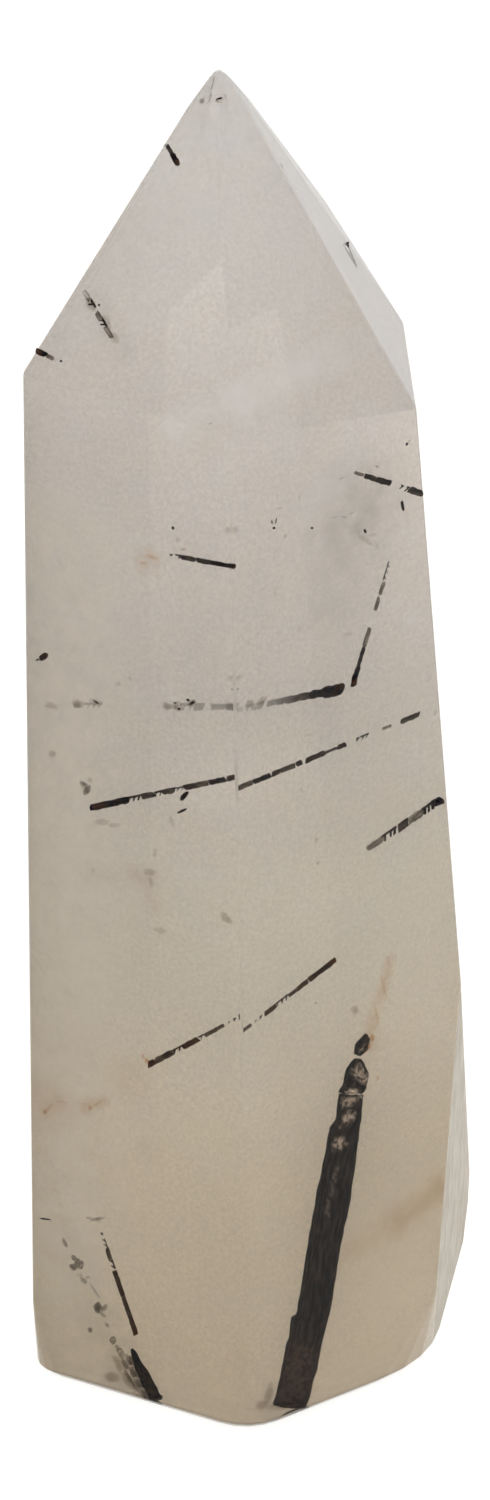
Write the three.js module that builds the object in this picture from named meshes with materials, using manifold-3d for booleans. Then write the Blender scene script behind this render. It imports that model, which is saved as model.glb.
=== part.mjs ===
// A polished point of tourmalinated quartz that stands on its flat base: one milky quartz crystal
// with black tourmaline needles grown through it. Millimetres, +Z up, the viewer at -Y, the origin
// under the middle of the crystal's box.

import * as THREE from "three";
import { ConvexGeometry } from "three/addons/geometries/ConvexGeometry.js";
import { mergeVertices } from "three/addons/utils/BufferGeometryUtils.js";
import Module from "manifold-3d";

// Driving dimensions of the quartz
const APEX = { x: -2.7, y: -2.1, z: 100.6 };
const BASE_BEVEL = 0.6;

// How far each ring of the worn tip lies below the sharp apex, and what is left of its width there
const WORN_TIP = [
  { loss: 3.4, keep: 1 },
  { loss: 2.3, keep: 0.92 },
  { loss: 1.3, keep: 0.7 },
  { loss: 0.95, keep: 0.3 },
];

// Upright faces in order round the crystal. The azimuth turns from the viewer (0) to the viewer's
// right (90), the lean tips a face inwards as it rises, and the reach is its distance at the base.
const FACES = {
  leftFront: { azimuth: -29.5, lean: 0.5, reach: 15.25 },
  rightFront: { azimuth: 37, lean: 1.6, reach: 13.5 },
  heel: { azimuth: 80.5, lean: -2.7, reach: 13.95 },
  right: { azimuth: 92.9, lean: 4.85, reach: 17.2 },
  backRight: { azimuth: 162, lean: 7.4, reach: 16.9 },
  backLeft: { azimuth: -145, lean: 5, reach: 15.4 },
  left: { azimuth: -101, lean: 0.2, reach: 14.75 },
};

// Heights at which the upright edges end and the six sloping faces of the point begin
const SHOULDERS = {
  front: { faces: ["leftFront", "rightFront"], height: 78.1 },
  right: { faces: ["rightFront", "right"], height: 76.3 },
  backRight: { faces: ["right", "backRight"], height: 79 },
  back: { faces: ["backRight", "backLeft"], height: 77 },
  backLeft: { faces: ["backLeft", "left"], height: 74.5 },
  left: { faces: ["left", "leftFront"], height: 79.6 },
};

// The edge from the apex to the back right shoulder bows out, this far along and this far back
const BOW = { along: 0.57, back: 2.1 };

// The base corners are worn round, here named by the face before each corner: how much of the face's
// foot is lost, and up to what height the upright edge over the corner is blunted
const BASE_WEAR = { leftFront: 2.6, rightFront: 4.5, heel: 2, backRight: 2.5, backLeft: 2, left: 1.8 };
const BASE_WEAR_HEIGHT = 6;
const BASE_WEAR_STEPS = 4;

// Sloping faces that needles crop out on, each given by the two shoulders under it
const TIP_FACES = {
  leftTip: ["left", "front"],
  sideTip: ["right", "backRight"],
};

// Room between a needle and the quartz round it
const GAP = 0.3;
const NEEDLE_SIDES = 9;

// Needles: each starts at a place on a face, runs at a heading on that face (0 to the viewer's
// right, 90 upwards) and dives under it. Widths are at the outer and the far end.
const NEEDLES = {
  corner_needle: {
    face: "leftFront", across: -0.4, height: 28.4, heading: 35.5, dive: 30.3,
    length: 15.6, width: 0.46, farWidth: 0.42, crosses: true,
  },
  long_needle: {
    face: "leftFront", across: -5, height: 47.7, heading: 16.9, dive: 38.4,
    length: 24.2, width: 0.48, farWidth: 0.42, crosses: true,
  },
  blunt_needle: {
    face: "rightFront", across: -1.6, height: 56.9, heading: -157, dive: 63,
    length: 20, width: 0.72, farWidth: 0.4,
  },
  steep_needle: {
    face: "rightFront", across: -0.5, height: 57.2, heading: 53.5, dive: 27.5,
    length: 10.6, width: 0.44, farWidth: 0.34,
  },
  edge_needle: {
    face: "rightFront", across: 7.3, height: 45.9, heading: -146.7, dive: 35.8,
    length: 7.7, width: 0.56, farWidth: 0.46,
  },
  shoulder_needle: {
    face: "rightFront", across: 5.7, height: 69.8, heading: 154, dive: 24.4,
    length: 6, width: 0.42, farWidth: 0.36,
  },
  rusty_needle: {
    face: "leftFront", across: 6.7, height: 68.6, heading: -171, dive: 24.2,
    length: 7.3, width: 0.36, farWidth: 0.3,
  },
  left_stub: {
    face: "leftFront", across: -8.8, height: 58.6, heading: -140, dive: 47,
    length: 2.7, width: 0.52, farWidth: 0.44,
  },
  short_needle: {
    face: "leftFront", across: -1.6, height: 5.9, heading: 118.4, dive: 17.6,
    length: 8.2, width: 0.4, farWidth: 0.34,
  },
  smoky_rod: {
    face: "leftFront", across: 0.4, height: 1.3, heading: 141, dive: 30,
    length: 15, width: 1.1, farWidth: 0.8,
  },
  tip_needle: {
    face: "leftTip", across: -2.9, height: 93.9, heading: 138.7, dive: 29.5,
    length: 2, width: 0.36, farWidth: 0.3,
  },
  tip_sliver: {
    face: "sideTip", across: 2, height: 85.7, heading: -94.2, dive: 29.2,
    length: 2, width: 0.32, farWidth: 0.3,
  },
  ghost_needle: {
    face: "leftTip", across: -7.5, height: 84.9, heading: -54, dive: 42,
    length: 5, width: 0.6, farWidth: 0.5,
  },
  shoulder_dash: {
    face: "leftTip", across: -10.2, height: 81, heading: -15, dive: 50,
    length: 2.4, width: 0.36, farWidth: 0.3,
  },
};

// The big rod starts at a depth under the right front face and runs down beside it to the base, where
// its channel opens. It broke into three pieces as the quartz grew, so its breaks are given as
// distances from its upper end.
const ROD = { face: "rightFront", across: 0.5, height: 29, depth: 1.52, heading: -103, dive: 1.73 };
const ROD_WIDTH = { outer: 0.9, full: 2.2, far: 2.5, fullAt: 6 };
const ROD_PIECES = {
  rod_tip: { from: 0, to: 1.7 },
  rod_crown: { from: 2, to: 4.5 },
  big_rod: { from: 4.8, to: 29.4 },
};
const ROD_BASE_CLEARANCE = 0.3;
const ROD_CHANNEL_OVERRUN = 2;

// Colours
const QUARTZ_COLOUR = "#d2c8ba";
const TOURMALINE_COLOUR = "#1b191c";

const wasm = await Module();
wasm.setup();

const radians = THREE.MathUtils.degToRad;
const up = new THREE.Vector3(0, 0, 1);

// The plane of an upright face, pointing out of the crystal
function uprightPlane({ azimuth, lean, reach }) {
  const turn = radians(azimuth);
  const tip = radians(lean);
  const normal = new THREE.Vector3(
    Math.sin(turn) * Math.cos(tip),
    -Math.cos(turn) * Math.cos(tip),
    Math.sin(tip),
  );
  return new THREE.Plane(normal, -reach * Math.cos(tip));
}

// The point where three planes meet
function meetingPoint(a, b, c) {
  const sides = new THREE.Matrix3().set(
    a.normal.x, a.normal.y, a.normal.z,
    b.normal.x, b.normal.y, b.normal.z,
    c.normal.x, c.normal.y, c.normal.z,
  );
  return new THREE.Vector3(-a.constant, -b.constant, -c.constant).applyMatrix3(sides.invert());
}

const level = (height) => new THREE.Plane(up, -height);

const planes = {};
for (const [name, face] of Object.entries(FACES)) {
  planes[name] = uprightPlane(face);
}

const shoulders = {};
for (const [name, { faces, height }] of Object.entries(SHOULDERS)) {
  shoulders[name] = meetingPoint(planes[faces[0]], planes[faces[1]], level(height));
}

const apex = new THREE.Vector3(APEX.x, APEX.y, APEX.z);
for (const [name, [first, second]] of Object.entries(TIP_FACES)) {
  planes[name] = new THREE.Plane().setFromCoplanarPoints(apex, shoulders[first], shoulders[second]);
}

// The faces that reach the base: the right one ends above it, where the heel meets the back
const footed = Object.keys(BASE_WEAR);

// The corners where those faces, moved inwards by an inset, meet a height
function ringCorners(height, inset) {
  const sides = footed.map((name) => uprightPlane({ ...FACES[name], reach: FACES[name].reach - inset }));
  return sides.map((side, index) => {
    const next = sides[(index + 1) % sides.length];
    return meetingPoint(side, next, level(height));
  });
}

// A ring with its corners worn round
function wornRing(height, inset) {
  const corners = ringCorners(height, inset);
  const count = corners.length;
  return corners.flatMap((corner, index) => {
    const wear = BASE_WEAR[footed[index]];
    const [before, after] = [corners[(index + count - 1) % count], corners[(index + 1) % count]]
      .map((other) => corner.clone().lerp(other, wear / corner.distanceTo(other)));
    return new THREE.QuadraticBezierCurve3(before, corner, after).getPoints(BASE_WEAR_STEPS);
  });
}

// The foot of the crystal: a smaller ring on the ground, the full ring at the bevel's height, and the
// sharp upright edges from where their wear ends
function foot() {
  return [
    ...wornRing(0, BASE_BEVEL),
    ...wornRing(BASE_BEVEL, 0),
    ...ringCorners(BASE_WEAR_HEIGHT, 0),
  ];
}

// The rings of the worn tip, on the edges that run down from the apex to the crown's corners
function wornTip(crown) {
  return WORN_TIP.flatMap(({ loss, keep }) => crown.map((corner) => {
    const point = apex.clone().lerp(corner, loss / (apex.z - corner.z));
    point.x = THREE.MathUtils.lerp(apex.x, point.x, keep);
    point.y = THREE.MathUtils.lerp(apex.y, point.y, keep);
    return point;
  }));
}

// The whole outside of the crystal
function crystalForm() {
  const heelTop = meetingPoint(planes.rightFront, planes.heel, planes.right);
  const heelEnd = meetingPoint(planes.right, planes.heel, planes.backRight);
  const bow = apex.clone().lerp(shoulders.backRight, BOW.along);
  bow.y += BOW.back;
  const crown = [...Object.values(shoulders), bow];
  return new ConvexGeometry([...foot(), heelTop, heelEnd, ...crown, ...wornTip(crown)]);
}

// A closed mesh as a solid that can be cut
function toSolid(geometry) {
  const bare = geometry.clone();
  bare.deleteAttribute("normal");
  bare.deleteAttribute("uv");
  const merged = mergeVertices(bare, 1e-5);
  return new wasm.Manifold(new wasm.Mesh({
    numProp: 3,
    vertProperties: new Float32Array(merged.attributes.position.array),
    triVerts: new Uint32Array(merged.index.array),
  }));
}

// A cut solid as a mesh that three.js can show
function toGeometry(solid) {
  const { vertProperties, triVerts } = solid.getMesh();
  const geometry = new THREE.BufferGeometry();
  geometry.setAttribute("position", new THREE.BufferAttribute(new Float32Array(vertProperties), 3));
  geometry.setIndex(new THREE.BufferAttribute(new Uint32Array(triVerts), 1));
  geometry.computeVertexNormals();
  return geometry;
}

// Where a needle starts, on its face or at a depth under it, and the way it runs from there
function needleLine({ face, across, height, depth = 0, heading, dive }) {
  const { normal, constant } = planes[face];
  const sideways = new THREE.Vector3().crossVectors(up, normal).normalize();
  const upwards = new THREE.Vector3().crossVectors(normal, sideways);
  const outwards = new THREE.Vector3(normal.x, normal.y, 0).normalize();
  const reach = (-constant - height * normal.z) / normal.dot(outwards);
  const start = outwards.clone().multiplyScalar(reach).addScaledVector(sideways, across);
  start.z = height;
  start.addScaledVector(normal, -depth);
  const turn = radians(heading);
  const slope = radians(dive);
  const direction = new THREE.Vector3()
    .addScaledVector(sideways, Math.cos(turn) * Math.cos(slope))
    .addScaledVector(upwards, Math.sin(turn) * Math.cos(slope))
    .addScaledVector(normal, -Math.sin(slope));
  return { start, direction };
}

// A tapered rod along a line, from its radius at each distance from the start
function rodAlong({ start, direction }, stops) {
  const outline = stops.map(({ distance, radius }) => new THREE.Vector2(radius, distance));
  const first = new THREE.Vector2(0, outline[0].y);
  const last = new THREE.Vector2(0, outline[outline.length - 1].y);
  const geometry = new THREE.LatheGeometry([first, ...outline, last], NEEDLE_SIDES);
  const turn = new THREE.Quaternion().setFromUnitVectors(new THREE.Vector3(0, 1, 0), direction);
  geometry.applyQuaternion(turn);
  geometry.translate(start.x, start.y, start.z);
  return toSolid(geometry);
}

// How far a rod has to stick out of its face so that the whole of its section is cut by the face
const overrun = (radius, dive) => radius / Math.tan(radians(dive)) + 1;

// A needle's own solid, and the wider one that makes room for it in the quartz
function needleShapes(needle) {
  const line = needleLine(needle);
  const { length, dive, width, farWidth, crosses } = needle;
  const shapes = [0, GAP].map((room) => {
    const radius = width / 2 + room;
    const farRadius = farWidth / 2 + room;
    const outside = overrun(radius, dive);
    const end = crosses ? length + overrun(farRadius, dive) : length + room;
    return rodAlong(line, [{ distance: -outside, radius }, { distance: end, radius: farRadius }]);
  });
  return { body: shapes[0].intersect(crystal), room: shapes[1] };
}

// The radius of the big rod at a distance from its outer end
function rodRadius(distance) {
  const { outer, full, far, fullAt } = ROD_WIDTH;
  const end = ROD_PIECES.big_rod.to;
  const width = distance < fullAt
    ? THREE.MathUtils.lerp(outer, full, Math.max(distance, 0) / fullAt)
    : THREE.MathUtils.lerp(full, far, (distance - fullAt) / (end - fullAt));
  return width / 2;
}

// A stretch of the big rod with a change of taper where it reaches its full width
function rodStretch(line, from, to, room) {
  const inside = [0, ROD_WIDTH.fullAt].filter((distance) => distance > from && distance < to);
  const distances = [from, ...inside, to];
  return rodAlong(line, distances.map((distance) => ({ distance, radius: rodRadius(distance) + room })));
}

// Everything above a height, to keep the rod's far end clear of the ground
function above(height) {
  const size = 200;
  const box = new THREE.BoxGeometry(size, size, size);
  box.translate(0, 0, height + size / 2);
  return toSolid(box);
}

function bigRod() {
  const line = needleLine(ROD);
  const end = ROD_PIECES.big_rod.to;
  const bodies = {};
  for (const [name, { from, to }] of Object.entries(ROD_PIECES)) {
    bodies[name] = rodStretch(line, from, to, 0).intersect(above(ROD_BASE_CLEARANCE));
  }
  return { bodies, room: rodStretch(line, -GAP, end + ROD_CHANNEL_OVERRUN, GAP) };
}

const crystal = toSolid(crystalForm());

const quartzMaterial = new THREE.MeshStandardMaterial({
  color: QUARTZ_COLOUR,
  roughness: 0.12,
  metalness: 0,
  flatShading: true,
  transparent: true,
  opacity: 0.55,
});

const tourmalineMaterial = () => new THREE.MeshStandardMaterial({
  color: TOURMALINE_COLOUR,
  roughness: 0.35,
  metalness: 0,
});

const point = new THREE.Group();

function addPiece(name, solid, material) {
  const mesh = new THREE.Mesh(toGeometry(solid), material);
  mesh.name = name;
  point.add(mesh);
}

let quartz = crystal;
for (const [name, needle] of Object.entries(NEEDLES)) {
  const { body, room } = needleShapes(needle);
  addPiece(name, body, tourmalineMaterial());
  quartz = quartz.subtract(room);
}

const rod = bigRod();
for (const [name, body] of Object.entries(rod.bodies)) {
  addPiece(name, body, tourmalineMaterial());
}
quartz = quartz.subtract(rod.room);
addPiece("quartz_point", quartz, quartzMaterial);

// The origin goes under the middle of the crystal's box
const box = new THREE.Box3().setFromObject(point);
point.position.set(-(box.min.x + box.max.x) / 2, -(box.min.y + box.max.y) / 2, 0);
point.updateMatrixWorld(true);

export default point;
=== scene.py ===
"""A polished point of tourmalinated quartz: milky, beige, clear enough to show the black needles in it."""
import math
import random
from itertools import combinations

import bmesh
import bpy
from mathutils import Matrix, Vector, noise
from mathutils.bvhtree import BVHTree

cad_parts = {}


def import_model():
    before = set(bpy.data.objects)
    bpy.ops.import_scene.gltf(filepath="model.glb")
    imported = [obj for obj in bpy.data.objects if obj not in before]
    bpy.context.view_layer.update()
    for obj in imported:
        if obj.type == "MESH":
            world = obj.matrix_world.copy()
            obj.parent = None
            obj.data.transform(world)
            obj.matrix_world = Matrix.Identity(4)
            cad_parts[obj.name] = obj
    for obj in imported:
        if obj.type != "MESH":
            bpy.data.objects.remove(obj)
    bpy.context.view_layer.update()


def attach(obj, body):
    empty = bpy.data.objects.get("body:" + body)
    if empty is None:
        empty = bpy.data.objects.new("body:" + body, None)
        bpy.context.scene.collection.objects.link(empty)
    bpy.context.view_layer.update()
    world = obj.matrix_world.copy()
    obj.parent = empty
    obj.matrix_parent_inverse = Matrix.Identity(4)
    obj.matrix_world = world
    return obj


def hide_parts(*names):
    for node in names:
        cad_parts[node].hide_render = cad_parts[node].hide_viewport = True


MM = 0.001

# The photograph's frame in pixels, and its long lens in the same pixels
PHOTO_WIDTH = 490
PHOTO_HEIGHT = 1500
LENS_PIXELS = 6245.5

# The camera looks down at the middle of the point from the front, all in mm
AIM = Vector((-0.7705, -1.6817, 48))
CAMERA_DISTANCE = 450
CAMERA_ELEVATION = math.radians(25)
SENSOR_HEIGHT = 24

# How big a mm shows in the photograph, in pixels
PIXELS_PER_MM = LENS_PIXELS / CAMERA_DISTANCE
# The front faces stand aslant, so what lies under them looks this much narrower than it is
SLANT_NARROWS = 0.8

LEFT = Vector((-1, 0, 0))
RIGHT = Vector((1, 0, 0))
FRONT = Vector((0, -1, 0))
DOWN = Vector((0, 0, -1))

# The floor, just under the crystal's foot, glows like a light table; sizes in mm
FLOOR_SIZE = 4000
FLOOR_DROP = 0.05
FLOOR_LOOK = {
    "Base Color": (0.16, 0.16, 0.16, 1), "Roughness": 0.8,
    "Emission Color": (1, 0.99, 0.97, 1), "Emission Strength": 0.92,
}

# The light tent's strength, and how often its light may bounce inside the crystal
TENT_LIGHT = 1.1
MOST_BOUNCES = 36
GLOSSY_BOUNCES = 24
CLEAR_BOUNCES = 32
MILK_BOUNCES = 16
DIFFUSE_BOUNCES = 8
MILK_STEP_RATE = 5

CRYSTAL_HEIGHT = 99.65
# The crystal's polished edges are rounded off by this much, in mm
EDGE_ROUNDING = 0.14
EDGE_STEPS = 3
# Faces that bend less than this where they meet are one face, and corners this close, in mm, are one
FLAT_WITHIN = math.radians(0.6)
MERGE_WITHIN = 0.001

WHITE = (1, 1, 1, 1)
QUARTZ_IOR = 1.544
QUARTZ_LOOK = {"IOR": QUARTZ_IOR, "Specular Tint": (0.1, 0.1, 0.1, 1)}
# What the quartz takes out of the light, with the density per metre
QUARTZ_ABSORPTION = {"Color": (0.80, 0.72, 0.55, 1), "Density": 1.5}

# The milk thickens under a clear skin, over a ramp, both in mm; its densities are per metre
CLEAR_SKIN = 2.6
MILK_RAMP = 3.4
SKIN_MILK = 1
HEART_MILK = 260
# Depth is taken under the sides with more than this area, in square mm
LARGE_SIDE = 150
# Only a side whose normal's y is below this faces the front and has the clear skin: under the
# others, depth is counted from so many mm
FRONT_FACING = -0.3
FAR_SIDE_MILK = 5.0
# The quartz is clear round a line this far in front of the long needle too, to this far from the line
CLEAR_IN_FRONT = 1.6
CLEAR_REACH = 1.6

# Rounded faces that lean less than this are the long upright edges, dulled by wear, none at the
# first height and wholly at the second, in mm
UPRIGHT = 0.12
EDGE_ROUGHNESS = 0.45
WORN_FROM = 22
WORN_WHOLLY_FROM = 32
# The small faces between the sides and the flat base are darker, a painted shade where the crystal meets the
# floor, up to this height in mm
FOOT_HEIGHT = 0.8
FLAT_DOWN = 0.99
FOOT_SHADE_STRENGTH = 0.6
FOOT_PAINTED_SHADE = (0.12, 0.10, 0.08, 1)
# How smooth the polish is, from its smoothest to its dullest
POLISH_ROUGHNESS = (0.03, 0.09)
POLISH_CLOUD = {"scale": 0.35, "detail": 2.0, "roughness": 0.6}

# Most of a soft noise lies between these two values, round this middle
NOISE_SPAN = (0.3, 0.7)
NOISE_MIDDLE = (0.5, 0.5, 0.5)
WAVER_DETAIL = 2.0
# The quartz's tone wanders so far, first softly and then finely; a noise's scale is in waves per mm
TONES = (({"scale": 0.08, "detail": 1.0}, 0.05), ({"scale": 3.6, "detail": 2.0, "roughness": 0.8}, 0.11))
# Its patches a little cooler and a little warmer
TINT_CLOUD = {"scale": 0.26, "detail": 2.0}
TINT_SPAN = (0.38, 0.62)
COOL_TINT = (0.985, 0.992, 1.01, 1)
WARM_TINT = (1.015, 1.004, 0.985, 1)
# Its pale wisps, flatter than they are wide, which fade in between two heights in mm
WISP_CLOUD = {"scale": 0.16, "detail": 4.0, "roughness": 0.65, "stretch": (1, 1, 2.2)}
WISP_SPAN = (0.58, 0.72)
WISP_STRENGTH = 0.35
WISP_HEIGHTS = (30, 60)

# How nearly a face must turn a facet's way to count as that facet: not at all, and wholly
FACET_SPAN = (0.985, 0.992)
# A place on the narrow facet beside the front facets of the tip, and the painted shade laid over that facet's
# colour to darken it
STRIP_PIXEL = (378, 320)
STRIP_PAINTED_SHADE = (0.69, 0.70, 0.73, 1)
# The heel, the narrow facet at the lower right, is ground, not polished
HEEL_NORMAL = (0.985, -0.165, -0.047)
HEEL_CLOUD = {"scale": 1.1, "detail": 3.0, "roughness": 0.65, "stretch": (1, 1, 0.35)}
HEEL_COLOURS = ((0.35, (0.33, 0.29, 0.24)), (0.65, (0.58, 0.56, 0.51)))
HEEL_COVER = 0.85
HEEL_TRANSMISSION = 0.45
HEEL_ROUGHNESS = 0.5

# The quartz's colour in linear light, from the base, 0, to the tip, 1
CRYSTAL_BY_HEIGHT = (
    (0.0, (0.815, 0.675, 0.49)),
    (0.2, (0.90, 0.76, 0.56)),
    (0.36, (0.875, 0.79, 0.645)),
    (0.55, (0.815, 0.74, 0.66)),
    (0.8, (0.875, 0.80, 0.73)),
    (0.9, (0.93, 0.87, 0.81)),
    (1.0, (0.96, 0.93, 0.88)),
)

# The colours of its stains, in linear light too
PALE_RUST = (0.60, 0.33, 0.13, 1)
DEEP_RUST = (0.52, 0.25, 0.07, 1)
ROSE = (0.58, 0.42, 0.34, 1)
SMOKE = (0.419, 0.371, 0.277, 1)
GREY_SHADE = (0.50, 0.455, 0.405, 1)
LILAC = (0.46, 0.40, 0.37, 1)
WARM = (0.84, 0.72, 0.55, 1)
CREAM = (0.72, 0.63, 0.45, 1)
VEIL = (0.98, 0.95, 0.92, 1)
PALE_SIDE = (1.0, 0.90, 0.76, 1)

# A stain's edge wavers so far, in mm, at such a scale, and its strength is patchy
STAIN_WAVER = (1.0, 0.9)
STAIN_CLOUD = {"scale": 0.6, "detail": 2.0}
STAIN_SPAN = (0.3, 0.65)
STAIN_STRENGTH = (0.35, 1.0)

# Streaks: from pixel, to pixel of the photograph, reach in mm, strength, colour
STREAKS = (
    ((441, 1189), (394, 1224), 2.4, 1.0, PALE_RUST), ((394, 1224), (350, 1250), 2.2, 0.6, PALE_RUST),
    ((438, 1191), (402, 1218), 1.3, 1.0, DEEP_RUST), ((45, 1112), (58, 1101), 1.0, 1.0, PALE_RUST),
    ((86, 1107), (103, 1101), 1.0, 1.0, PALE_RUST), ((58, 1102), (88, 1106), 1.6, 0.4, PALE_RUST),
    ((95, 874), (150, 876), 1.6, 0.4, ROSE), ((140, 876), (152, 905), 1.4, 0.35, ROSE),
    ((366, 1046), (390, 960), 0.9, 0.6, PALE_RUST), ((180, 430), (240, 400), 2.2, 0.8, VEIL),
    ((240, 400), (330, 355), 2.2, 0.8, VEIL), ((95, 300), (125, 350), 1.6, 0.3, GREY_SHADE),
    ((65, 1240), (120, 1360), 3.2, 0.45, SMOKE), ((100, 1385), (150, 1395), 2.6, 0.6, LILAC),
    ((55, 560), (55, 1260), 9.0, 0.8, PALE_SIDE), ((333, 518), (354, 514), 0.5, 0.8, VEIL),
)
# Spots: pixel of the photograph, reach in mm, strength, colour
SPOTS = (
    ((42, 1102), 4.0, 0.4, PALE_RUST), ((130, 1080), 3.0, 0.3, PALE_RUST), ((368, 1046), 2.0, 0.4, PALE_RUST),
    ((75, 1340), 12.0, 0.35, SMOKE), ((360, 515), 6.5, 0.95, GREY_SHADE), ((400, 1240), 14.0, 0.6, WARM),
    ((150, 1150), 1.6, 0.3, GREY_SHADE), ((148, 560), 1.8, 0.5, PALE_RUST), ((320, 495), 2.4, 0.4, VEIL),
    ((205, 440), 2.4, 0.35, CREAM), ((275, 1408), 3.0, 0.7, LILAC), ((190, 205), 5.0, 0.4, VEIL),
    ((335, 598), 5.0, 0.4, GREY_SHADE),
)

# Tourmaline bends light little more than the quartz round it, so its IOR is taken against that
TOURMALINE_LOOK = {"IOR": 1.06}
# Its streaks run along the rod
STREAK_CLOUD = {"scale": 1.0, "detail": 4.0, "roughness": 0.62, "stretch": (3.6, 3.6, 0.7)}
TOURMALINE_BY_STREAK = (
    (0.4, (0.002, 0.0015, 0.004)), (0.54, (0.006, 0.005, 0.009)), (0.62, (0.014, 0.012, 0.019)),
    (0.74, (0.04, 0.035, 0.046)),
)
TOURMALINE_ROUGHNESS = (0.25, 0.5)
STREAK_BUMP = {"Strength": 0.5, "Distance": 0.04 * MM}
# Brown blotches lie over the black, and more of them the browner a tourmaline is, from 0 to 1
BROWNNESS = {"black_tourmaline": 0.6, "brown_tourmaline": 1.0, "cracked_tourmaline": 0.3}
BLOTCH_CLOUD = {"scale": 0.9, "detail": 3.0}
BLOTCHES_WHOLE = 0.7
BLOTCHES_SPREAD = 0.45
BROWN = (0.085, 0.042, 0.019, 1)
# Clear quartz in fine cracks pales it between the streaks
CRACKED = (0.42, 0.38, 0.33, 1)
CRACKED_SPAN = (0.42, 0.58)
CRACKED_STRENGTH = (0.45, 1.3)

# The colours of the thick rods' cracks and feet
LILAC_CRACK = (0.52, 0.46, 0.44, 1)
WHITE_CRACK = (0.85, 0.80, 0.73, 1)
SMOKY_BROWN = (0.045, 0.032, 0.02, 1)
ROD_FOOT = (0.075, 0.052, 0.046, 1)
# The rods' fronts lie this deep under the polished face, in mm
ROD_FRONT_DEPTH = 0.88
# Their patches' edges waver, and are patchy, in the same way
PATCH_WAVER = (0.7, 3.0)
PATCH_CLOUD = {"scale": 2.6, "detail": 2.0}
PATCH_SPAN = (0.42, 0.56)
PATCH_STRENGTH = (0.25, 1.4)
# Pale cracks and the faded foot on the thick rods: from pixel, to pixel, reach in mm, strength, colour
ROD_PATCHES = (
    ((350, 1069), (366, 1080), 0.6, 0.9, LILAC_CRACK), ((357, 1061), (361, 1070), 0.45, 0.6, LILAC_CRACK),
    ((343, 1103), (353, 1095), 0.9, 1.0, LILAC_CRACK), ((340, 1122), (351, 1116), 0.7, 0.85, LILAC_CRACK),
    ((329, 1151), (340, 1143), 0.75, 0.85, LILAC_CRACK), ((344, 1089), (364, 1097), 0.3, 1.0, WHITE_CRACK),
    ((336, 1170), (327, 1212), 0.5, 0.14, LILAC_CRACK), ((318, 1230), (309, 1275), 0.5, 0.13, LILAC_CRACK),
    ((357, 1054), (365, 1048), 0.45, 0.7, LILAC_CRACK), ((298, 1360), (290, 1398), 2.6, 1.0, ROD_FOOT),
    ((138, 1376), (153, 1394), 2.2, 1.0, SMOKY_BROWN),
)

# Soft hazes in the quartz: no surface of their own, the colour that they let through, density per metre
HAZE_LOOK = {"Base Color": WHITE, "Transmission Weight": 1, "Roughness": 0, "IOR": 1}
SMOKY_HAZE = {"Color": (0.30, 0.26, 0.22, 1), "Density": 3200}
GREY_HAZE = {"Color": (0.62, 0.57, 0.51, 1), "Density": 1600}
RUSTY_HAZE = {"Color": (0.75, 0.48, 0.22, 1), "Density": 2400}

# Flakes and loose cracks: their dark and their light colour, and how rough they are
WHITE_FLAKES = ((0.35, (0.62, 0.57, 0.50)), (0.65, (0.92, 0.90, 0.86)))
GREYISH_FLAKES = ((0.35, (0.10, 0.085, 0.08)), (0.65, (0.62, 0.56, 0.52)))
FLAKE_CLOUD = {"scale": 4.0, "detail": 3.0}
FLAKE_ROUGHNESS = (0.3, 0.6)

# The thin needles: how many sides, rings that are uneven and off the middle, ends broken off aslant
BROWN_NEEDLES = ("corner_needle", "short_needle")
NEEDLE_SIDES = 10
RING_SPACING = 0.22
RING_UNEVENNESS = 0.11
RING_WANDER = 0.05
END_SLANT = 0.6
END_TAPER = (0.93, 1.0)
RIDGES = 3
RIDGE_HEIGHT = 0.08
# A piece paler than this shows slanting dark chips, until it is too pale for them
CHIPPED_FROM = 0.3
CHIPPED_UNTIL = 0.7
CHIP_SPACING = 0.44
CHIP_REACH = 0.14
# Where a chip stands in its share of the piece, and its lean and its thickness in widths
CHIP_PLACE = (0.3, 0.7)
CHIP_LEAN = (0.3, 0.45)
CHIP_THICKNESS = (0.4, 0.62)
# The thin dark spine that holds the chips, off the middle of the needle
SPINE_SHIFT = 0.3
SPINE_WIDTH = 0.36
SPINE_PALLOR = 0.1

# The thick rods: how many sides, the spacing of their rings in mm, flatter than they are wide
ROD_SIDES = 32
ROD_RING_SPACING = 0.16
ROD_FLATNESS = 0.85
# How many ridges run along them, and how high, in half widths
ROD_RIDGES = ((3, 0.05), (8, 0.025), (15, 0.015))
# Their lumps' scale, and how far each lump is drawn out along the rod
LUMP_SCALE = 2.2
LUMP_STRETCH = 0.5
# How lumpy and how cracked each thick rod is
ROD_LOOKS = {
    "rod_tip": (0.8, 0.1), "rod_crown": (0.3, 0.05), "big_rod": (0.05, 0.05), "smoky_rod": (0.45, 0.0),
}

# Loose grains are uneven by this much, at this scale
GRAIN_UNEVENNESS = 0.45
GRAIN_SCALE = 3
# Each shape reads the noise at a place of its own, up to this far off
NOISE_SHIFT = 50
# Rounding may leave a ring this far before its place, in mm
ROUNDING = 1e-6

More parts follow.
